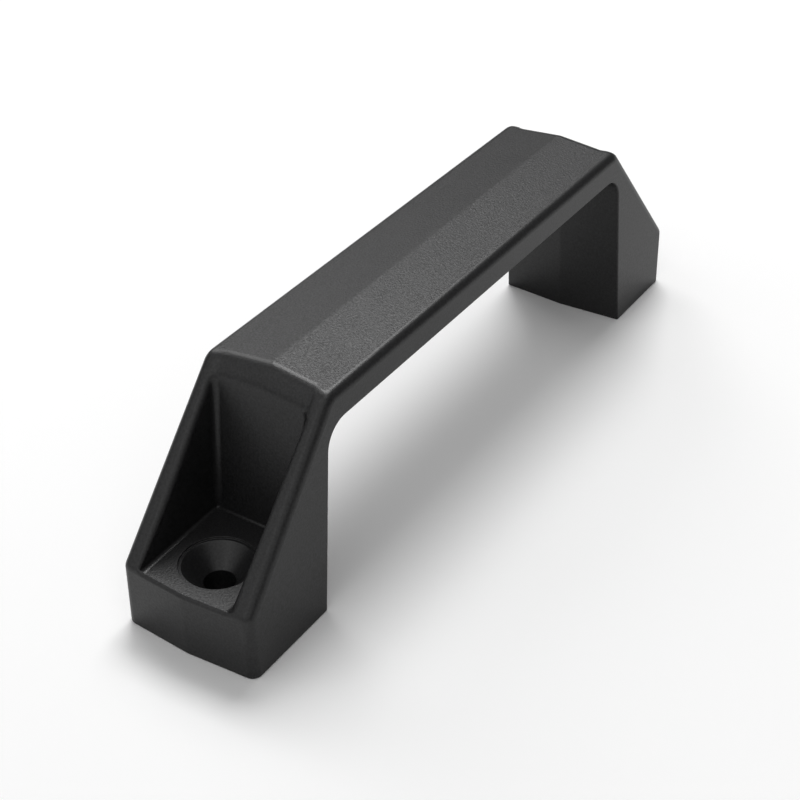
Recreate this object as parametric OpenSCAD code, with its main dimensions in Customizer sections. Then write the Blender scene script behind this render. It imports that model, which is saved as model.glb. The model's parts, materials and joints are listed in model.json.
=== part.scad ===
/* [Overall] */
// Distance between the two screw holes
hole_spacing = 132; // [110:1:220]
// Distance from a screw hole to the ridge of the end face
hole_to_end = 9.8; // [9.2:0.1:14]
// Width of the handle at its base
width = 27.3; // [25:0.1:36]
// Height over the ridge of the roof
height = 43; // [38:0.5:60]

/* [Faceted faces] */
// Rise of the two roof facets towards their ridge
roof_rise = 1.4; // [0.4:0.1:2.5]
// Rise of the two end facets towards their ridge
end_rise = 0.9; // [0.4:0.1:2]
// Rise of the two facets inside each leg and under the grip
inner_rise = 0.9; // [0.3:0.1:2]
// Draft of the long side faces
side_draft = 1.2; // [0.3:0.05:2]

/* [Feet] */
// Height of the end face, which is also the floor of the pocket
foot_height = 12.8; // [9:0.1:18]
// Distance from a screw hole to the inner face of its leg, at the base and the side
hole_to_gap = 11.45; // [11.4:0.05:16]
// Lean of the inner leg faces
leg_lean = 5.5; // [3:0.1:6]
// Slope of the outer leg faces, from upright
slope_angle = 40.5; // [34:0.1:44]

/* [Grip] */
// Thickness of the grip along its side faces
grip_thickness = 5.45; // [4.5:0.05:9]
// Radius where the grip meets the legs
gap_radius = 5; // [2:0.5:8]

/* [Screw pockets] */
// Width of a pocket between its cheeks
pocket_width = 18.8; // [17:0.1:19.6]
// Distance from a screw hole to the back wall of its pocket, at the floor
hole_to_back = 11.55; // [9:0.05:11.6]
// Lean of the back wall of the pocket
back_lean = 6.5; // [4:0.1:8]
// Depth of the recess between the cheeks, above the back wall
recess_depth = 0.9; // [0.3:0.05:1.5]
// Radius of the upright corners of the pocket
pocket_radius = 0.9; // [0.5:0.1:2]

/* [Screw holes] */
// Diameter of a screw hole
hole_d = 5.5; // [4.3:0.1:6.6]
// Diameter at the top of the countersink
cone_d = 12.3; // [10:0.1:12.8]
// Included angle of the countersink
cone_angle = 86; // [82:1:100]
// Diameter of the bevel around the countersink, at the floor
rim_d = 13.7; // [13:0.1:15]
// Depth of the bevel around the countersink
rim_depth = 0.65; // [0.3:0.05:1.5]

/* [Rounding] */
// Radius along the outer edges of the handle
edge_radius = 1.5; // [0.5:0.1:2]
// Radius where the roof turns down into the cheeks
tip_radius = 3.5; // [1:0.1:5]
// Radius of the roof's lip between the cheeks
lip_radius = 1; // [0.4:0.1:1.6]
// Radius where the recess turns down into the back wall
brow_radius = 2; // [0.5:0.1:3]
// Radius where the end face turns into the cheeks
heel_radius = 1; // [0.4:0.1:1.5]
// Radius of the floor's front edge
sill_radius = 0.4; // [0.2:0.1:0.8]

/* [Hidden] */
$fn = 96;
// How far a cutting shape reaches past the surface that it cuts
past = 1;
// Flats that make up a rounded outer edge
round_steps = 6;
ends = [-1, 1];

half_width = width / 2;
half_pocket = pocket_width / 2;
hole_x = hole_spacing / 2;
end_x = hole_x + hole_to_end;
back_x = hole_x - hole_to_back;
reach = 2 * (end_x + height);

// Gradients of the facets across the width, and of the drafts along the height
roof_grade = roof_rise / half_width;
end_grade = end_rise / half_width;
inner_grade = inner_rise / half_width;
draft_grade = tan(side_draft);

// Corner between a side face and the roof
shoulder_y = (half_width - draft_grade * height) / (1 - draft_grade * roof_grade);
shoulder_z = height - roof_grade * shoulder_y;

// Ridges of the inner leg faces at the base, and of the underside of the grip
gap_x = hole_x - hole_to_gap - inner_rise;
under_z = shoulder_z - grip_thickness - inner_rise;

// Outward normals in the corner of the handle where x and y are positive
side_normal = [0, cos(side_draft), sin(side_draft)];
roof_normal = unit([0, roof_grade, 1]);
end_normal = unit([1, end_grade, 0]);
slope_normal = unit([1, end_grade, tan(slope_angle)]);
back_normal = unit([1, 0, tan(back_lean)]);
leg_normal = unit([-1, inner_grade, -tan(leg_lean)]);
under_normal = unit([0, inner_grade, -1]);
cheek_normal = [0, -1, 0];
floor_normal = [0, 0, 1];

// Points on the ridges of the facets, at mid width
roof_point = [0, 0, height];
end_point = [end_x, 0, foot_height];
lip_point = end_point - [recess_depth / cos(slope_angle), 0, 0];
back_point = [back_x, 0, foot_height];
leg_point = [gap_x, 0, 0];
under_point = [0, 0, under_z];
side_point = [0, half_width, 0];
cheek_point = [0, half_pocket, 0];

function unit(v) = v / norm(v);

// Where three planes meet, each given by a normal and a point on it
function meet(n1, p1, n2, p2, n3, p3) =
    let (a = cross(n2, n3), b = cross(n3, n1), c = cross(n1, n2))
    ((n1 * p1) * a + (n2 * p2) * b + (n3 * p3) * c) / (n1 * a);

// Places its children at a point, with their x along n1 and their z along the edge
// that n1 shares with n2
module along_edge(at, n1, n2) {
    z = unit(cross(n1, n2));
    y = cross(z, n1);
    multmatrix([
        [n1.x, y.x, z.x, at.x],
        [n1.y, y.y, z.y, at.y],
        [n1.z, y.z, z.z, at.z],
        [0, 0, 0, 1]])
        children();
}

// The outline, past two faces that turn by an angle, of a section with its x along
// the line midway between their normals, from one given end point to its mirror image
function outside(turn, first) =
    let (out = first + past * [cos(turn / 2), sin(turn / 2)])
    [first, out, [out.x + past, 0], [out.x, -out.y], [first.x, -first.y]];

// In that section, where a radius touches the first face
function touch(turn, r) = [r * cos(turn / 2) - r / cos(turn / 2), r * sin(turn / 2)];

// What rounding takes from the sharp edge between two faces, given by a point on the
// edge and their outward normals. The first and last flats run on past the faces.
module edge_round(at, n1, n2, r) {
    turn = acos(n1 * n2);
    flat_turn = turn / 2 * (1 - 1 / round_steps);
    first = touch(turn, r) + past * [-sin(flat_turn), cos(flat_turn)];
    along_edge(at, n1, n2)
        linear_extrude(reach, center = true)
            rotate(turn / 2)
                polygon(concat(
                    outside(turn, first),
                    [for (i = [1:round_steps - 1])
                        let (a = turn * (i / round_steps - 0.5))
                        [r * cos(a) - r / cos(turn / 2), r * sin(a)]]));
}

// What a radius adds in the inner corner between two faces
module corner_fill(at, n1, n2, r) {
    turn = acos(n1 * n2);
    along_edge(at, -n1, -n2)
        linear_extrude(reach, center = true)
            rotate(turn / 2)
                difference() {
                    polygon(concat(outside(turn, touch(turn, r)), [[-r / cos(turn / 2), 0]]));
                    translate([-r / cos(turn / 2), 0]) circle(r);
                }
}

// A ridged solid, whose two faces look along out and fall away from a ridge through
// the point with the given gradient
module ridged(at, out, drop) {
    along = cross([0, 1, 0], out);
    multmatrix([
        [0, out.x, along.x, at.x],
        [1, out.y, along.y, at.y],
        [0, out.z, along.z, at.z],
        [0, 0, 0, 1]])
        linear_extrude(2 * reach, center = true)
            polygon([
                [0, 0],
                [reach, -drop * reach],
                [reach, -2 * reach],
                [-reach, -2 * reach],
                [-reach, -drop * reach]]);
}

// Copies its children to both ends and both sides
module four_corners() {
    both_ends()
        for (side = ends) mirror([0, side < 0 ? 1 : 0, 0]) children();
}

module both_ends() {
    for (end = ends) mirror([end < 0 ? 1 : 0, 0, 0]) children();
}

// A block between two widths from the middle plane, on the side where y is positive
module side_band(from, to) {
    translate([0, from, -past]) cube([reach, to - from, height + 2 * past]);
}

// Everything under the outer leg face at the end where x is positive, with the
// ridge of that face through the point
module leg_slope(at) {
    ridged(at, [cos(slope_angle), 0, sin(slope_angle)], end_grade * cos(slope_angle));
}

module sharp_body() {
    intersection() {
        rotate([90, 0, 90])
            linear_extrude(reach, center = true)
                polygon([
                    [-half_width, 0],
                    [half_width, 0],
                    [shoulder_y, shoulder_z],
                    [0, height],
                    [-shoulder_y, shoulder_z]]);
        linear_extrude(height + past)
            polygon([
                [end_x, 0],
                [end_x - 2 * end_rise, width],
                [2 * end_rise - end_x, width],
                [-end_x, 0],
                [2 * end_rise - end_x, -width],
                [end_x - 2 * end_rise, -width]]);
        leg_slope(end_point);
        mirror([1, 0, 0]) leg_slope(end_point);
    }
}

// The open space between the legs, under the grip
module finger_gap() {
    difference() {
        translate([-hole_x, -width, -past])
            cube([hole_spacing, 2 * width, shoulder_z]);
        both_ends()
            ridged(leg_point, [-cos(leg_lean), 0, -sin(leg_lean)],
                inner_grade * cos(leg_lean));
        ridged(under_point, [0, 0, -1], inner_grade);
        four_corners()
            intersection() {
                corner_fill(meet(leg_normal, leg_point, under_normal, under_point,
                        side_normal, side_point),
                    leg_normal, under_normal, gap_radius);
                side_band(0, width);
            }
    }
}

// The pocket over a screw, at the end where x is positive
module pocket() {
    difference() {
        translate([back_x - height, -half_pocket, foot_height])
            cube([reach, pocket_width, height]);
        intersection() {
            translate(back_point)
                rotate([0, -back_lean, 0])
                    translate([-reach, -width, -reach])
                        cube([reach, 2 * width, 2 * reach]);
            leg_slope(lip_point);
        }
        for (side = ends) mirror([0, side < 0 ? 1 : 0, 0])
            intersection() {
                corner_fill(meet(back_normal, back_point, cheek_normal, cheek_point,
                        floor_normal, back_point),
                    back_normal, cheek_normal, pocket_radius);
                leg_slope(lip_point);
            }
    }
}

// The screw hole with its countersink and bevel, at the end where x is positive
module screw_hole() {
    cone_top = foot_height - rim_depth;
    cone_end = cone_top - (cone_d - hole_d) / 2 / tan(cone_angle / 2);
    translate([hole_x, 0, 0])
        rotate_extrude()
            polygon([
                [0, -past],
                [hole_d / 2, -past],
                [hole_d / 2, cone_end],
                [cone_d / 2, cone_top],
                [rim_d / 2, foot_height],
                [rim_d / 2, foot_height + past],
                [0, foot_height + past]]);
}

// Rounds the outer edges, all around the side profile
module round_outline() {
    edge_round(meet(roof_normal, roof_point, side_normal, side_point, end_normal, end_point),
        roof_normal, side_normal, edge_radius);
    edge_round(meet(slope_normal, end_point, side_normal, side_point, end_normal, end_point),
        slope_normal, side_normal, edge_radius);
    edge_round(meet(end_normal, end_point, side_normal, side_point, floor_normal, side_point),
        end_normal, side_normal, edge_radius);
}

// Rounds the top and the foot of the cheek beside a pocket
module round_cheek() {
    intersection() {
        union() {
            edge_round(meet(roof_normal, roof_point, slope_normal, end_point,
                    side_normal, side_point),
                roof_normal, slope_normal, tip_radius);
            edge_round(meet(slope_normal, end_point, end_normal, end_point,
                    side_normal, side_point),
                slope_normal, end_normal, heel_radius);
        }
        side_band(half_pocket, width);
    }
}

// Rounds the roof's lip, the brow under it and the sill of the floor
module round_pocket() {
    intersection() {
        union() {
            edge_round(meet(roof_normal, roof_point, slope_normal, lip_point,
                    cheek_normal, cheek_point),
                roof_normal, slope_normal, lip_radius);
            edge_round(meet(slope_normal, lip_point, back_normal, back_point,
                    cheek_normal, cheek_point),
                slope_normal, back_normal, brow_radius);
            edge_round(meet(floor_normal, end_point, end_normal, end_point,
                    cheek_normal, cheek_point),
                floor_normal, end_normal, sill_radius);
        }
        side_band(0, half_pocket);
    }
}

module rounded_body() {
    difference() {
        difference() {
            sharp_body();
            four_corners() round_outline();
        }
        four_corners() round_cheek();
    }
}

module handle() {
    color([0.13, 0.13, 0.135])
        difference() {
            difference() {
                rounded_body();
                both_ends() pocket();
                both_ends() screw_hole();
                four_corners() round_pocket();
            }
            finger_gap();
        }
}

handle();
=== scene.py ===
"""A bar handle of moulded black plastic, with a pocket over the screw in each foot."""
import json
import math

import bmesh
import bpy
from bpy.props import FloatProperty, FloatVectorProperty, PointerProperty
from mathutils import Matrix, Vector


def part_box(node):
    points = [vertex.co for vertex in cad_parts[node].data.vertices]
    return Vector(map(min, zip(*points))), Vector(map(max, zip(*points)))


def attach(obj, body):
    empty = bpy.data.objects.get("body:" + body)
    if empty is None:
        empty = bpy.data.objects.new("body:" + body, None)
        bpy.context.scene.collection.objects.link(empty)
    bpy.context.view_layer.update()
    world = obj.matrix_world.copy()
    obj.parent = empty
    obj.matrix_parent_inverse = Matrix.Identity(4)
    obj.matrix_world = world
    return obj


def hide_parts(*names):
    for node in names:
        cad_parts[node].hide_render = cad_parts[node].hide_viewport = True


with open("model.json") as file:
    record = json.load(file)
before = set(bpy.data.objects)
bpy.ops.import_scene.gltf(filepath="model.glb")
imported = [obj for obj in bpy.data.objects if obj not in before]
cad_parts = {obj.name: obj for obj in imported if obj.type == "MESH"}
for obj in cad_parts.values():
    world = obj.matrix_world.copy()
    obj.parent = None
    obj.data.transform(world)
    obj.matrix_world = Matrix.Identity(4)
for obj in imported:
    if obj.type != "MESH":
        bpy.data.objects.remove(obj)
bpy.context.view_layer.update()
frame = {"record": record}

bl_info = {
    "name": "Bar handle",
    "version": (1, 0, 0),
    "blender": (4, 5, 0),
    "location": "3D View > Sidebar > Handle",
    "description": "Builds a moulded bar handle with two screw pockets, and its studio",
    "category": "Add Mesh",
}

MM = 0.001
WHITE = (1, 1, 1, 1)
LOW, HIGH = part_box("handle")
MOUNTS = {mount["name"]: mount for mount in frame["record"]["mounts"]}
SCREWS = MOUNTS["screw_pattern"]["dims"]

# What a face of the body belongs to, kept as its material index while it is carved
OUTSIDE, ROOF, WALL, FLOOR, BORE = range(5)

# Flats that make up each rounded edge
TIP_STEPS = 12
LIP_STEPS = 8
BROW_STEPS = 8
NOOK_STEPS = 5
HEEL_STEPS = 6
CROOK_STEPS = 16
CHEEK_STEPS = 7
OUTLINE_STEPS = 8
RIM_STEPS = 3
BREAK_STEPS = 3

# Sides of each round hole
HOLE_SIDES = 96

# Rows over which the soft step beside the recess deepens into a pocket's wall, and where on
# the back wall they start and how far they reach, in radii of the brow
FADE_STEPS = 10
FADE_START = 0.4
FADE_REACH = 1.2

# Heights over a pocket's floor, in corner radii, of the rows over which the corner radius
# turns into the floor radius
NOOK_ROWS = (2, 1.5, 1)

# Least cosine of the angle between a pocket's face and the slope, by which a radius across
# the face is turned into a depth
LEAST_FACING = 0.5

# How many times a point is moved across until it lies on the draft of the cheeks
DRAFT_ROUNDS = 2

# Least distance between two lines across the body, and from the last one to the heel
LINE_GAP = 0.03 * MM
HEEL_GAP = 0.25 * MM

# Half a step along an outline, on each side of the place whose direction is asked for
HALF_STEP = 0.5

# Distances within which points are joined, across the mirror planes and after a cut
SEAM = 0.0001 * MM
WELD = 0.001 * MM

# Faces that turn by less are joined into one, and edges that turn by more are broken
FLAT_TURN = math.radians(0.05)
SHARP_TURN = math.radians(45)

# Profile of a round break, and the index with which its faces take the material beside them
ROUND = 0.5
BESIDE = -1

# Least upward part of the normal of a level face
LEVEL = 0.985

# How far a pocket's faces may reach past its borders, and its back wall past its foot, from
# where it leans away
BORDER_ROOM = 0.1 * MM
LEAN_ROOM = 3 * MM

# Roughness of the grain's noise, detail of the noise of the slow changes in the finish, and
# the values of the grain's noise at its darkest and palest spots
GRAIN_ROUGHNESS = 0.6
CLOUD_DETAIL = 3.0
SPOT_LOW = 0.3
SPOT_HIGH = 0.7


def length(label, value, note):
    """A size, given in millimetres"""
    return FloatProperty(name=label, description=note, default=value * MM, min=0,
                         unit="LENGTH", precision=5)


def angle(label, value, note):
    """An angle, given in degrees"""
    return FloatProperty(name=label, description=note, default=math.radians(value),
                         unit="ROTATION")


def factor(label, value, note):
    """A plain number"""
    return FloatProperty(name=label, description=note, default=value, min=0)


def power(label, value, note):
    """The power of a lamp, given in watts"""
    return FloatProperty(name=label, description=note, default=value, min=0, unit="POWER")


def colour(label, value, note):
    """A colour, given as red, green and blue"""
    return FloatVectorProperty(name=label, description=note, default=value, size=3,
                               subtype="COLOR", min=0, max=1)


class HandleBodySizes(bpy.types.PropertyGroup):
    """Sizes of the grip and the two legs"""
    hole_spacing: length("Hole spacing", SCREWS["spacing_x_mm"], "Distance between the screws")
    span: length("Length", (HIGH.x - LOW.x) / MM, "Length over the ridges of the end faces")
    width: length("Width", (HIGH.y - LOW.y) / MM, "Width at the base")
    height: length("Height", (HIGH.z - LOW.z) / MM, "Height over the ridge of the roof")
    roof_rise: length("Roof rise", 1.4, "Rise of the roof facets towards their ridge")
    end_rise: length("End rise", 0.9, "Rise of the end facets towards their ridge")
    inner_rise: length("Inner rise", 0.9, "Rise of the facets inside the legs and under the grip")
    side_draft: angle("Side draft", 1.2, "Draft of the long side faces")
    foot_height: length("Foot height", 12.8, "Height of the end face and of the pocket's floor")
    hole_to_gap: length("Screw to gap", 11.45, "From a screw to the inner face of its leg")
    leg_lean: angle("Leg lean", 5.5, "Lean of the inner leg faces")
    slope: angle("Slope", 40.5, "Slope of the outer leg faces, from upright")
    grip_thickness: length("Grip thickness", 5.45, "Thickness of the grip along its sides")


class HandlePocketSizes(bpy.types.PropertyGroup):
    """Sizes of the pocket over each screw"""
    width: length("Width", 18.5, "Distance between the cheeks, at the floor")
    draft: angle("Draft", 0.9, "Draft of the cheeks")
    hole_to_back: length("Screw to back wall", 11.55, "From a screw to the back wall at the floor")
    back_lean: angle("Back lean", 5.5, "Lean of the back wall")
    recess: length("Recess", 0.45, "Depth of the recess above the back wall")
    least_step: length("Least step", 0.5, "Depth under which a step keeps its width as it fades")
    corner_radius: length("Corner radius", 1.3, "Radius of the upright corners")
    floor_radius: length("Floor radius", 0.5, "Radius where the floor meets the walls")


class HandleScrewSizes(bpy.types.PropertyGroup):
    """Sizes of the countersunk screw holes"""
    hole: length("Hole", 2 * SCREWS["hole_r_mm"], "Diameter of the hole")
    cone: length("Countersink", 11, "Diameter at the top of the countersink")
    cone_angle: angle("Countersink angle", 86, "Included angle of the countersink")
    rim: length("Rim", 13.4, "Diameter of the ledge around the countersink")
    cone_depth: length("Countersink depth", 1.15, "Depth at which the countersink starts")
    ledge: length("Ledge", 0.5, "Width of the ledge around the countersink")
    ledge_depth: length("Ledge depth", 0.35, "Depth of the ledge under the pocket's floor")
    rim_break: length("Rim break", 0.1, "Radius of the round edges of the screw hole")


class HandleEdgeSizes(bpy.types.PropertyGroup):
    """Radii of the edges"""
    outline: length("Outline", 1.8, "Radius along the outer edges")
    tip: length("Tip", 3.5, "Radius where the roof turns down into the cheeks")
    lip: length("Lip", 3.4, "Radius of the roof's lip over the recess")
    brow: length("Brow", 3.4, "Radius where the recess turns down into the back wall")
    blend: length("Blend", 3, "Radius of the soft step between the recess and the cheeks")
    heel: length("Heel", 2, "Radius where the cheeks turn down into the end face")
    sill: length("Sill", 0.7, "Radius of the floor's front edge")
    crook: length("Crook", 5, "Radius where the grip meets the legs")
    ridge: length("Ridge", 0.4, "Half the width over which a ridge is eased")
    cheek: length("Cheek edge", 1.25, "Radius of the cheeks' inner edges")
    gap: length("Gap edge", 0.3, "Break of the edges around the finger gap and the base")


class HandleFinish(bpy.types.PropertyGroup):
    """Finish of the plastic"""
    plastic: colour("Plastic", (0.012, 0.012, 0.0125), "Colour of the plastic")
    grained: factor("Grained roughness", 0.46, "Roughness of the grained faces")
    grained_spread: factor("Grained spread", 0.16, "How far their roughness varies")
    satin: factor("Satin roughness", 0.37, "Roughness of the smoother faces")
    satin_spread: factor("Satin spread", 0.03, "How far their roughness varies")
    index: factor("Refractive index", 1.5, "Refractive index of the plastic")
    grain: length("Grain", 0.4, "Size of the moulded grain")
    grained_depth: length("Grained depth", 0.08, "Depth of the grain on the grained faces")
    satin_depth: length("Satin depth", 0.02, "Depth of the grain on the smoother faces")
    cloud: length("Cloud", 16, "Size of the slow changes in the finish")
    wear: factor("Wear", 0.3, "Share of the slow changes in the roughness")
    speckle: factor("Speckle", 0.6, "How far the grain changes the tone of the plastic")


class HandleLamps(bpy.types.PropertyGroup):
    """Soft lamps that stand round the handle"""
    reach: length("Reach", 1300, "Distance of each lamp from the handle")
    narrow: length("Narrow", 600, "Width of the square lamps behind and above the handle")
    wide: length("Wide", 1500, "Width of the square lamps in front and to the left")
    key: power("Key", 10.6, "High behind the far end")
    back: power("Back", 3, "Behind the handle")
    top: power("Top", 1.3, "Nearly overhead")
    left: power("Left", 3.6, "To the left, behind the near end")
    front: power("Front", 3.6, "In front of the near end")
    sky: factor("Sky", 0.12, "Strength of the even light from all sides")


# Each lamp with its heading round the handle and its rise over the floor, in degrees, and
# the setting that holds its width
LAMPS = (
    ("key", 24, 60, "narrow"),
    ("back", 60, 38, "narrow"),
    ("top", 270, 78, "narrow"),
    ("left", 150, 38, "wide"),
    ("front", 207, 42, "wide"),
)


class HandleStage(bpy.types.PropertyGroup):
    """Floor and camera"""
    floor: colour("Floor", (0.71, 0.71, 0.71), "Colour of the floor")
    floor_reach: length("Floor reach", 1500, "Distance from the middle to the floor's edge")
    fade_start: length("Fade start", 90, "Distance at which the floor starts to turn white")
    fade_end: length("Fade end", 420, "Distance from which the floor is white")
    target: FloatVectorProperty(name="Target", description="Point that the camera looks at",
                                default=(-0.018692, -0.00525, 0.019507), subtype="XYZ",
                                unit="LENGTH")
    distance: length("Distance", 296.998, "Distance of the camera from the target")
    heading: angle("Heading", 33.346, "Direction of view, from the length of the handle")
    fall: angle("Fall", 35.458, "How far the camera looks down")
    roll: angle("Roll", -0.482, "Roll of the camera")
    lens: FloatProperty(name="Lens", description="Focal length on a 36 mm sensor",
                        default=73.55, subtype="DISTANCE_CAMERA")
    near: length("Near", 10, "Distance from which the camera sees")
    far: length("Far", 10000, "Distance up to which the camera sees")


def eased(distance, width):
    """Distance from a ridge, eased so that the ridge is softly rounded"""
    if distance >= width:
        return distance
    return (distance * distance + width * width) / (2 * width)


def smooth(share):
    """A share from 0 to 1, eased at both ends"""
    return share * share * (3 - 2 * share)


def arc(before, corner, after, radius, steps):
    """Points of the arc that rounds the corner between two straight runs"""
    back = (before - corner).normalized()
    ahead = (after - corner).normalized()
    turn = math.pi - back.angle(ahead)
    reach = radius * math.tan(turn / 2)
    centre = corner + (back + ahead).normalized() * radius / math.cos(turn / 2)
    first = corner + back * reach - centre
    last = corner + ahead * reach - centre
    points = []
    for step in range(steps + 1):
        part = turn * step / steps
        spoke = (first * math.sin(turn - part) + last * math.sin(part)) / math.sin(turn)
        points.append(centre + spoke)
    return points


def loft(mesh, rows, closed=False):
    """Faces between rows of vertices, each row as long as the next"""
    for row, other in zip(rows, rows[1:]):
        count = len(row)
        for i in range(count if closed else count - 1):
            j = (i + 1) % count
            mesh.faces.new((row[i], row[j], other[j], other[i]))


def facets(body, share):
    """Height of the roof, reach of the end face, reach of the gap and height under the
    grip, at a share of the way from the middle plane to the side at the base"""
    half = body.width / 2
    shoulder = half - math.tan(body.side_draft) * body.height
    inner = body.inner_rise * (share - 1)
    roof = body.height - body.roof_rise * share
    end = body.span / 2 - body.end_rise * share
    gap = body.hole_spacing / 2 - body.hole_to_gap + inner
    under = body.height - body.roof_rise * shoulder / half - body.grip_thickness + inner
    return roof, end, gap, under


def on_slope(body, end, z, depth=0):
    """The point of the outer leg face at a height, or of a face that lies deeper"""
    reach = end - depth / math.cos(body.slope)
    return Vector((reach - math.tan(body.slope) * (z - body.foot_height), z))


def outer_outline(body, edge, share):
    """The outline over a cheek, as x and z, from the middle of the grip to the toe"""
    roof, end, _, _ = facets(body, share)
    start, toe = Vector((0, roof)), Vector((end, 0))
    tip, heel = on_slope(body, end, roof), on_slope(body, end, body.foot_height)
    return ([start] + arc(start, tip, heel, edge.tip, TIP_STEPS)
            + arc(tip, heel, toe, edge.heel, HEEL_STEPS) + [toe])


def inner_outline(body, pocket, edge, share):
    """The outline through the recess and the pocket, from the same start to the same toe"""
    roof, end, _, _ = facets(body, share)
    back = body.hole_spacing / 2 - pocket.hole_to_back
    foot = body.foot_height
    start, toe = Vector((0, roof)), Vector((end, 0))
    lip = on_slope(body, end, roof, pocket.recess)
    rise = ((on_slope(body, end, foot, pocket.recess).x - back)
            / (math.tan(body.slope) - math.tan(pocket.back_lean)))
    brow = Vector((back - math.tan(pocket.back_lean) * rise, foot + rise))
    nook, sill = Vector((back, foot)), Vector((end, foot))
    blend = [nook.lerp(brow, part * pocket.corner_radius / rise) for part in NOOK_ROWS]
    fade = [brow.lerp(nook, edge.brow * (FADE_START + FADE_REACH * step / FADE_STEPS) / rise)
            for step in range(FADE_STEPS + 1)]
    return ([start] + arc(start, lip, brow, edge.lip, LIP_STEPS)
            + arc(lip, brow, nook, edge.brow, BROW_STEPS) + fade + blend
            + arc(brow, nook, sill, pocket.floor_radius, NOOK_STEPS)
            + arc(nook, sill, toe, edge.sill, HEEL_STEPS) + [toe])


def gap_outline(body, edge, share):
    """The outline from the toe of the inner leg face to the middle of the underside"""
    _, _, gap, under = facets(body, share)
    foot, end = Vector((gap, 0)), Vector((0, under))
    crook = Vector((gap - math.tan(body.leg_lean) * under, under))
    return [foot] + arc(foot, crook, end, edge.crook, CROOK_STEPS) + [end]


def at(path, place):
    """The point of a path at a whole index or part of the way to the next one"""
    index = min(max(int(math.floor(place)), 0), len(path) - 2)
    return path[index].lerp(path[index + 1], place - index)


def outward(path, place):
    """The direction that a path faces at a place"""
    after, before = min(place + HALF_STEP, len(path) - 1), max(place - HALF_STEP, 0)
    along = at(path, after) - at(path, before)
    return Vector((-along.y, along.x)).normalized()


def place_of(path, along, mark):
    """Where a path, which runs down the slope, passes a mark"""
    for index, (first, second) in enumerate(zip(path, path[1:])):
        ahead, behind = along.dot(first), along.dot(second)
        if ahead >= mark >= behind and ahead > behind:
            return index + (ahead - mark) / (ahead - behind)
    raise ValueError("The outline doesn't pass the mark")


def stations(inner, outer, along):
    """Pairs of places that lie opposite each other across the depth of the pocket"""
    ends = HEEL_STEPS + 2
    last = along.dot(outer[-ends]) + HEEL_GAP
    marks = sorted({along.dot(point) for path in (inner, outer) for point in path}, reverse=True)
    pairs, before = [], math.inf
    for mark in marks:
        if mark > last and before - mark > LINE_GAP:
            pairs.append((place_of(inner, along, mark), place_of(outer, along, mark)))
            before = mark
    pairs += [(len(inner) - ends + k, len(outer) - ends + k) for k in range(ends)]
    return pairs


def step_rows(depth, start, convex, concave, deep):
    """Distances from the middle plane and shares of the depth, up a cheek from the pocket
    to the cheek's face at the start. A shallow step is a soft double curve."""
    turn = math.acos(max(1 - depth / (convex + deep), 0))
    inside = start - (convex + concave) * math.sin(turn)
    rows = []
    for k in range(CHEEK_STEPS + 1):
        part = turn * k / CHEEK_STEPS
        rows.append((inside + concave * math.sin(part),
                     1 - deep * (1 - math.cos(part)) / depth))
    for k in range(CHEEK_STEPS + 1):
        part = turn * (1 - k / CHEEK_STEPS)
        rows.append((start - convex * math.sin(part),
                     convex * (1 - math.cos(part)) / depth))
    return rows


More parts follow.
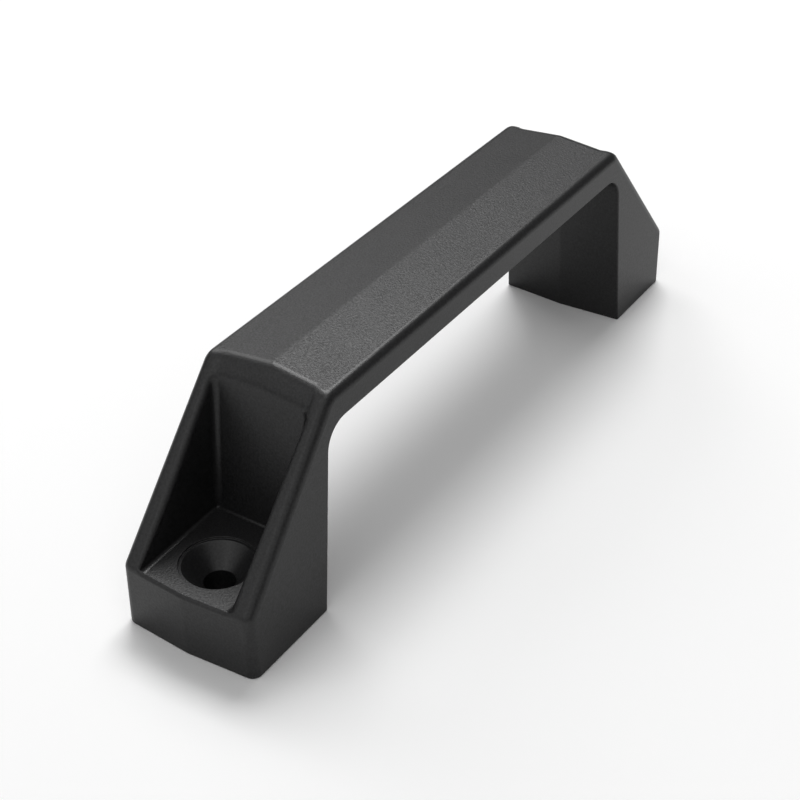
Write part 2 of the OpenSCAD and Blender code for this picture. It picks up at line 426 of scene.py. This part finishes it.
class Quarter:
    """The quarter of the body where x and y are positive"""

    def __init__(self, body, pocket, edge):
        self.body, self.pocket, self.edge = body, pocket, edge
        self.half = body.width / 2
        self.cheek = pocket.width / 2
        self.facing = Vector((math.cos(body.slope), math.sin(body.slope)))
        self.along = Vector((-math.sin(body.slope), math.cos(body.slope)))
        self.inner = [inner_outline(body, pocket, edge, share) for share in (0, 1)]
        self.outer = [outer_outline(body, edge, share) for share in (0, 1)]
        beside = self.cheek / self.half
        self.inner_beside = inner_outline(body, pocket, edge, beside)
        self.outer_beside = outer_outline(body, edge, beside)

    def point(self, pair, across, share):
        """A point across the width, share of the way from the cheek's face to the pocket"""
        moved = across
        for _ in range(DRAFT_ROUNDS):
            off = eased(moved, self.edge.ridge) / self.half
            deep = at(self.inner[0], pair[0]).lerp(at(self.inner[1], pair[0]), off)
            face = at(self.outer[0], pair[1]).lerp(at(self.outer[1], pair[1]), off)
            spot = face.lerp(deep, share)
            above = max(spot.y - self.body.foot_height, 0)
            moved = across + (math.tan(self.pocket.draft) * above
                              * min(across / self.cheek, 1))
        return Vector((spot.x, moved, spot.y))

    def side_point(self, first, second):
        """Where a line across the width, given by its ends at 0 and at half the width,
        meets the drafted side face"""
        draft = math.tan(self.body.side_draft)
        rate = (second - first) / self.half
        across = (self.half - draft * first.y) / (1 + draft * rate.y)
        spot = first + rate * across
        return Vector((spot.x, across, spot.y))

    def station(self, pair):
        """The points of one line across the outside, with the outline's radius at its end"""
        deep, face = at(self.inner_beside, pair[0]), at(self.outer_beside, pair[1])
        depth = max((face - deep).dot(self.facing), self.pocket.least_step)
        nook = NOOK_ROWS[0] * self.pocket.corner_radius
        above = min(max((deep.y - self.body.foot_height) / nook, 0), 1)
        concave = self.pocket.floor_radius
        concave += (self.pocket.corner_radius - concave) * smooth(above)
        lean = max(outward(self.inner_beside, pair[0]).dot(self.facing), LEAST_FACING)
        ridge = self.edge.ridge
        rows = [(across, 1) for across in (0, ridge / 2, ridge)]
        deeper = (depth - self.pocket.recess) / self.edge.cheek
        soft = 1 - smooth(min(max(deeper, 0), 1))
        convex = self.edge.cheek + (self.edge.blend - self.edge.cheek) * soft
        concave += (self.edge.blend - concave) * soft
        rows += step_rows(depth, self.cheek + self.edge.cheek, convex, concave, concave / lean)
        points = [self.point(pair, across, share) for across, share in rows]
        corner = self.side_point(at(self.outer[0], pair[1]), at(self.outer[1], pair[1]))
        faces = outward(self.outer[1], pair[1])
        down = Vector((-faces.x, math.tan(self.body.side_draft) * faces.y, -faces.y))
        return points + arc(points[-1], corner, corner + down, self.edge.outline,
                            OUTLINE_STEPS)

    def gap_rows(self):
        """The lines across the inside of the leg and under the grip"""
        first, second = [gap_outline(self.body, self.edge, share) for share in (0, 1)]
        ridge = self.edge.ridge
        lines = []
        for start, stop in zip(first, second):
            line = []
            for across in (0, ridge / 2, ridge):
                spot = start.lerp(stop, eased(across, ridge) / self.half)
                line.append(Vector((spot.x, across, spot.y)))
            lines.append(line + [self.side_point(start, stop)])
        return lines


def body_shell(body, pocket, edge):
    """The closed body with its recesses and pockets, but without the screw holes"""
    quarter = Quarter(body, pocket, edge)
    mesh = bmesh.new()
    pairs = stations(quarter.inner_beside, quarter.outer_beside, quarter.along)
    outside = [[mesh.verts.new(point) for point in quarter.station(pair)] for pair in pairs]
    inside = [[mesh.verts.new(point) for point in line] for line in quarter.gap_rows()]
    loft(mesh, outside)
    loft(mesh, inside)
    mesh.faces.new([line[-1] for line in outside + inside])
    mesh.faces.new(outside[-1] + inside[0][::-1])
    for axis in ("X", "Y"):
        bmesh.ops.mirror(mesh, geom=mesh.verts[:] + mesh.edges[:] + mesh.faces[:],
                         axis=axis, merge_dist=SEAM)
    bmesh.ops.remove_doubles(mesh, verts=mesh.verts[:], dist=WELD)
    bmesh.ops.recalc_face_normals(mesh, faces=mesh.faces[:])
    for face in mesh.faces:
        face.material_index = kind_of(face, body, pocket)
    bmesh.ops.dissolve_limit(mesh, angle_limit=FLAT_TURN, verts=mesh.verts[:],
                             edges=mesh.edges[:], delimit={"MATERIAL"})
    return mesh


def kind_of(face, body, pocket):
    """Whether a face belongs to the roof, to a pocket's floor or wall, or to the outside"""
    middle = face.calc_center_median()
    level = face.normal.z > LEVEL
    if level and middle.z > body.height - 2 * body.roof_rise:
        return ROOF
    back = body.hole_spacing / 2 - pocket.hole_to_back
    beside = abs(middle.y) > pocket.width / 2 + BORDER_ROOM
    under = middle.z < body.foot_height - BORDER_ROOM
    behind = abs(middle.x) < back - LEAN_ROOM
    if beside or under or behind:
        return OUTSIDE
    return FLOOR if level else WALL


def break_edges(mesh, radius):
    """Breaks the edges of the finger gap and the base"""
    sharp = [edge for edge in mesh.edges if len(edge.link_faces) == 2
             and edge.calc_face_angle() > SHARP_TURN]
    bmesh.ops.bevel(mesh, geom=sharp, offset=radius, offset_type="OFFSET",
                    segments=BREAK_STEPS, profile=ROUND, affect="EDGES",
                    clamp_overlap=False, loop_slide=True, material=BESIDE)


def new_piece(name, mesh):
    """A new object that takes over a mesh"""
    data = bpy.data.meshes.new(name)
    mesh.to_mesh(data)
    mesh.free()
    piece = bpy.data.objects.new(name, data)
    bpy.context.scene.collection.objects.link(piece)
    return piece


def screw_cutter(body, screw):
    """The space of the screw hole at the end where x is positive"""
    mesh = bmesh.new()
    clear = body.foot_height
    top = body.foot_height - screw.cone_depth
    cone_end = top - (screw.cone - screw.hole) / 2 / math.tan(screw.cone_angle / 2)
    edge, ledge = screw.rim / 2, body.foot_height - screw.ledge_depth
    corners = [Vector(corner) for corner in (
        (screw.hole / 2, -clear), (screw.hole / 2, cone_end), (screw.cone / 2, top),
        (edge - screw.ledge, ledge), (edge, ledge), (edge, body.foot_height + clear))]
    profile = corners[:1]
    for before, corner, after in zip(corners, corners[1:], corners[2:]):
        profile += arc(before, corner, after, screw.rim_break, RIM_STEPS)
    profile += corners[-1:]
    turns = [math.tau * side / HOLE_SIDES for side in range(HOLE_SIDES)]
    rows = []
    for radius, z in profile:
        rows.append([mesh.verts.new((body.hole_spacing / 2 + radius * math.cos(turn),
                                     radius * math.sin(turn), z)) for turn in turns])
    loft(mesh, rows, closed=True)
    mesh.faces.new(rows[0])
    mesh.faces.new(rows[-1])
    for face in mesh.faces:
        face.material_index = BORE
    bmesh.ops.recalc_face_normals(mesh, faces=mesh.faces[:])
    return new_piece("screw_cutter", mesh)


def settle(piece):
    """Puts the result of a piece's modifiers into its mesh"""
    graph = bpy.context.evaluated_depsgraph_get()
    data = bpy.data.meshes.new_from_object(piece.evaluated_get(graph))
    old = piece.data
    piece.modifiers.clear()
    piece.data = data
    data.name = piece.name
    bpy.data.meshes.remove(old)


def carve(piece, cutter):
    """Cuts a space out of both ends"""
    for end in (1, -1):
        if end < 0:
            cutter.data.transform(Matrix.Scale(-1, 4, (1, 0, 0)))
            cutter.data.flip_normals()
        cut = piece.modifiers.new("cut", "BOOLEAN")
        cut.object = cutter
        cut.operation = "DIFFERENCE"
        cut.solver = "EXACT"
        settle(piece)
    bpy.data.meshes.remove(cutter.data)


def break_rims(piece, radius):
    """Breaks the edges where the screw holes open, with one radius at every angle"""
    mesh = bmesh.new()
    mesh.from_mesh(piece.data)
    bmesh.ops.remove_doubles(mesh, verts=mesh.verts[:], dist=WELD)
    bmesh.ops.dissolve_limit(mesh, angle_limit=FLAT_TURN, verts=mesh.verts[:],
                             edges=mesh.edges[:], delimit={"MATERIAL"})
    weight = mesh.edges.layers.float.new("bevel_weight_edge")
    for edge in mesh.edges:
        kinds = {face.material_index for face in edge.link_faces}
        if BORE in kinds and len(kinds) == 2:
            edge[weight] = math.tan(edge.calc_face_angle() / 2)
    mesh.to_mesh(piece.data)
    mesh.free()
    bevel = piece.modifiers.new("rims", "BEVEL")
    bevel.limit_method = "WEIGHT"
    bevel.width = radius
    bevel.segments = BREAK_STEPS
    bevel.use_clamp_overlap = False
    settle(piece)


def shade(piece):
    """Keeps the wide faces flat and lets the radii run smoothly between them"""
    piece.data.shade_smooth()
    normals = piece.modifiers.new("normals", "WEIGHTED_NORMAL")
    normals.keep_sharp = True
    settle(piece)


class Nodes:
    """A short way to add and link the nodes of a material or of the world"""

    def __init__(self, tree):
        self.tree = tree
        tree.nodes.clear()

    def add(self, kind, **values):
        """A new node, with settings and inputs by their names"""
        node = self.tree.nodes.new("ShaderNode" + kind)
        for key, value in values.items():
            if hasattr(node, key):
                setattr(node, key, value)
            else:
                node.inputs[key.replace("_", " ").capitalize()].default_value = value
        return node

    def link(self, source, target):
        self.tree.links.new(source, target)


def new_material(name):
    """A new material and its nodes"""
    material = bpy.data.materials.new(name)
    material.use_nodes = True
    return material, Nodes(material.node_tree)


def plastic(name, finish, roughness, spread, depth):
    """Moulded black plastic with a fine grain, of a given roughness and depth"""
    material, nodes = new_material(name)
    place = nodes.add("TexCoord").outputs["Object"]
    shader = nodes.add("BsdfPrincipled")
    shader.inputs["IOR"].default_value = finish.index

    grain = nodes.add("TexNoise", Scale=1 / finish.grain, Roughness=GRAIN_ROUGHNESS)
    cloud = nodes.add("TexNoise", Scale=1 / finish.cloud, Detail=CLOUD_DETAIL)
    for texture in (grain, cloud):
        nodes.link(place, texture.inputs["Vector"])
    spots = nodes.add("MapRange")
    spots.inputs["From Min"].default_value = SPOT_LOW
    spots.inputs["From Max"].default_value = SPOT_HIGH
    nodes.link(grain.outputs["Fac"], spots.inputs["Value"])

    tone = nodes.add("Mix", data_type="RGBA")
    base = Vector(finish.plastic)
    tone.inputs["A"].default_value = (*(base * (1 - finish.speckle)), 1)
    tone.inputs["B"].default_value = (*(base * (1 + finish.speckle)), 1)
    nodes.link(spots.outputs["Result"], tone.inputs["Factor"])
    nodes.link(tone.outputs["Result"], shader.inputs["Base Color"])

    gloss = nodes.add("MapRange")
    gloss.inputs["To Min"].default_value = roughness + spread
    gloss.inputs["To Max"].default_value = roughness - spread
    worn = nodes.add("Mix", data_type="FLOAT")
    worn.inputs["Factor"].default_value = finish.wear
    nodes.link(spots.outputs["Result"], worn.inputs["A"])
    nodes.link(cloud.outputs["Fac"], worn.inputs["B"])
    nodes.link(worn.outputs["Result"], gloss.inputs["Value"])
    nodes.link(gloss.outputs["Result"], shader.inputs["Roughness"])

    bump = nodes.add("Bump", Distance=depth)
    nodes.link(grain.outputs["Fac"], bump.inputs["Height"])
    nodes.link(bump.outputs["Normal"], shader.inputs["Normal"])

    output = nodes.add("OutputMaterial")
    nodes.link(shader.outputs["BSDF"], output.inputs["Surface"])
    return material


def floor_material(stage):
    """A pale floor that keeps the shadow, and turns to plain white farther out, where the
    lamps no longer reach it"""
    material, nodes = new_material("pale_floor")
    rays = nodes.add("LightPath")
    tone = nodes.add("Mix", data_type="RGBA")
    tone.inputs["A"].default_value = (*stage.floor, 1)
    tone.inputs["B"].default_value = WHITE
    nodes.link(rays.outputs["Is Camera Ray"], tone.inputs["Factor"])
    lit = nodes.add("BsdfDiffuse")
    nodes.link(tone.outputs["Result"], lit.inputs["Color"])

    distance = nodes.add("VectorMath", operation="LENGTH")
    nodes.link(nodes.add("TexCoord").outputs["Object"], distance.inputs["Vector"])
    fade = nodes.add("MapRange", interpolation_type="SMOOTHSTEP")
    fade.inputs["From Min"].default_value = stage.fade_start
    fade.inputs["From Max"].default_value = stage.fade_end
    nodes.link(distance.outputs["Value"], fade.inputs["Value"])
    share = nodes.add("Math", operation="MULTIPLY")
    nodes.link(fade.outputs["Result"], share.inputs[0])
    nodes.link(rays.outputs["Is Camera Ray"], share.inputs[1])

    white = nodes.add("Emission")
    blend = nodes.add("MixShader")
    nodes.link(share.outputs["Value"], blend.inputs["Fac"])
    nodes.link(lit.outputs["BSDF"], blend.inputs[1])
    nodes.link(white.outputs["Emission"], blend.inputs[2])
    output = nodes.add("OutputMaterial")
    nodes.link(blend.outputs["Shader"], output.inputs["Surface"])
    return material


class BAR_OT_handle(bpy.types.Operator):
    """Build the moulded body of the handle"""
    bl_idname = "bar.handle"
    bl_label = "Handle"

    def execute(self, context):
        scene = context.scene
        body, pocket = scene.handle_body, scene.handle_pocket
        screw, edge = scene.handle_screw, scene.handle_edge
        finish = scene.handle_finish
        mesh = body_shell(body, pocket, edge)
        break_edges(mesh, edge.gap)
        piece = new_piece("handle_body", mesh)
        satin = plastic("satin_plastic", finish, finish.satin, finish.satin_spread,
                        finish.satin_depth)
        grained = plastic("grained_plastic", finish, finish.grained, finish.grained_spread,
                          finish.grained_depth)
        # In the order of the kinds of face: outside, roof, wall, floor and bore
        for material in (satin, grained, satin, grained, satin):
            piece.data.materials.append(material)
        carve(piece, screw_cutter(body, screw))
        break_rims(piece, screw.rim_break)
        shade(piece)
        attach(piece, "root")
        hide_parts("handle")
        return {"FINISHED"}


class BAR_OT_stage(bpy.types.Operator):
    """Build the floor, the lights and the camera"""
    bl_idname = "bar.stage"
    bl_label = "Stage"

    def execute(self, context):
        scene = context.scene
        stage = scene.handle_stage
        self.add_floor(stage)
        self.add_world(scene, scene.handle_lamps)
        self.add_lamps(scene, scene.handle_lamps)
        self.add_camera(scene, stage)
        scene.view_settings.view_transform = "Standard"
        return {"FINISHED"}

    def add_floor(self, stage):
        """A wide level floor under the handle"""
        mesh = bmesh.new()
        bmesh.ops.create_grid(mesh, x_segments=1, y_segments=1, size=stage.floor_reach)
        floor = new_piece("floor", mesh)
        floor.data.materials.append(floor_material(stage))

    def add_world(self, scene, lamps):
        """A world that looks white behind the floor and lights it weakly"""
        world = bpy.data.worlds.new("studio")
        world.use_nodes = True
        nodes = Nodes(world.node_tree)
        rays = nodes.add("LightPath")
        back = nodes.add("Background")
        back.inputs["Color"].default_value = WHITE
        strength = nodes.add("MapRange")
        strength.inputs["To Min"].default_value = lamps.sky
        nodes.link(rays.outputs["Is Camera Ray"], strength.inputs["Value"])
        nodes.link(strength.outputs["Result"], back.inputs["Strength"])
        output = nodes.add("OutputWorld")
        nodes.link(back.outputs["Background"], output.inputs["Surface"])
        scene.world = world

    def add_lamps(self, scene, lamps):
        """Square soft lamps that face the middle of the handle"""
        middle = Vector((0, 0, HIGH.z / 2))
        for name, heading, rise, width in LAMPS:
            turn, lift = math.radians(heading), math.radians(rise)
            place = Vector((math.cos(turn) * math.cos(lift), math.sin(turn) * math.cos(lift),
                            math.sin(lift))) * lamps.reach
            data = bpy.data.lights.new(name, "AREA")
            data.size = getattr(lamps, width)
            data.energy = getattr(lamps, name)
            lamp = bpy.data.objects.new(name, data)
            lamp.location = place
            lamp.rotation_euler = (middle - place).to_track_quat("-Z", "Y").to_euler()
            scene.collection.objects.link(lamp)

    def add_camera(self, scene, stage):
        """The camera, by its distance and direction from the point that it looks at"""
        ahead = Vector((math.cos(stage.heading) * math.cos(stage.fall),
                        math.sin(stage.heading) * math.cos(stage.fall),
                        -math.sin(stage.fall)))
        level = Vector((math.sin(stage.heading), -math.cos(stage.heading), 0))
        above = level.cross(ahead)
        right = math.cos(stage.roll) * level + math.sin(stage.roll) * above
        up = math.cos(stage.roll) * above - math.sin(stage.roll) * level
        data = bpy.data.cameras.new("camera")
        data.lens = stage.lens
        data.clip_start = stage.near
        data.clip_end = stage.far
        camera = bpy.data.objects.new("camera", data)
        turn = Matrix((right, up, -ahead)).transposed().to_4x4()
        camera.matrix_world = Matrix.Translation(
            Vector(stage.target) - ahead * stage.distance) @ turn
        scene.collection.objects.link(camera)
        scene.camera = camera


class BAR_PT_handle(bpy.types.Panel):
    """Sizes and steps of the bar handle"""
    bl_idname = "BAR_PT_handle"
    bl_label = "Bar handle"
    bl_space_type = "VIEW_3D"
    bl_region_type = "UI"
    bl_category = "Handle"

    def draw(self, context):
        layout = self.layout
        for group in GROUPS:
            box = layout.box()
            settings = getattr(context.scene, group)
            for key in settings.__annotations__:
                box.prop(settings, key)
        layout.operator("bar.handle")
        layout.operator("bar.stage")


GROUPS = {
    "handle_body": HandleBodySizes,
    "handle_pocket": HandlePocketSizes,
    "handle_screw": HandleScrewSizes,
    "handle_edge": HandleEdgeSizes,
    "handle_finish": HandleFinish,
    "handle_lamps": HandleLamps,
    "handle_stage": HandleStage,
}
CLASSES = (*GROUPS.values(), BAR_OT_handle, BAR_OT_stage, BAR_PT_handle)


def register():
    for cls in CLASSES:
        bpy.utils.register_class(cls)
    for key, group in GROUPS.items():
        setattr(bpy.types.Scene, key, PointerProperty(type=group))


def unregister():
    for key in GROUPS:
        delattr(bpy.types.Scene, key)
    for cls in reversed(CLASSES):
        bpy.utils.unregister_class(cls)


def main():
    register()
    bpy.ops.bar.handle()
    bpy.ops.bar.stage()


if __name__ == "__main__":
    main()
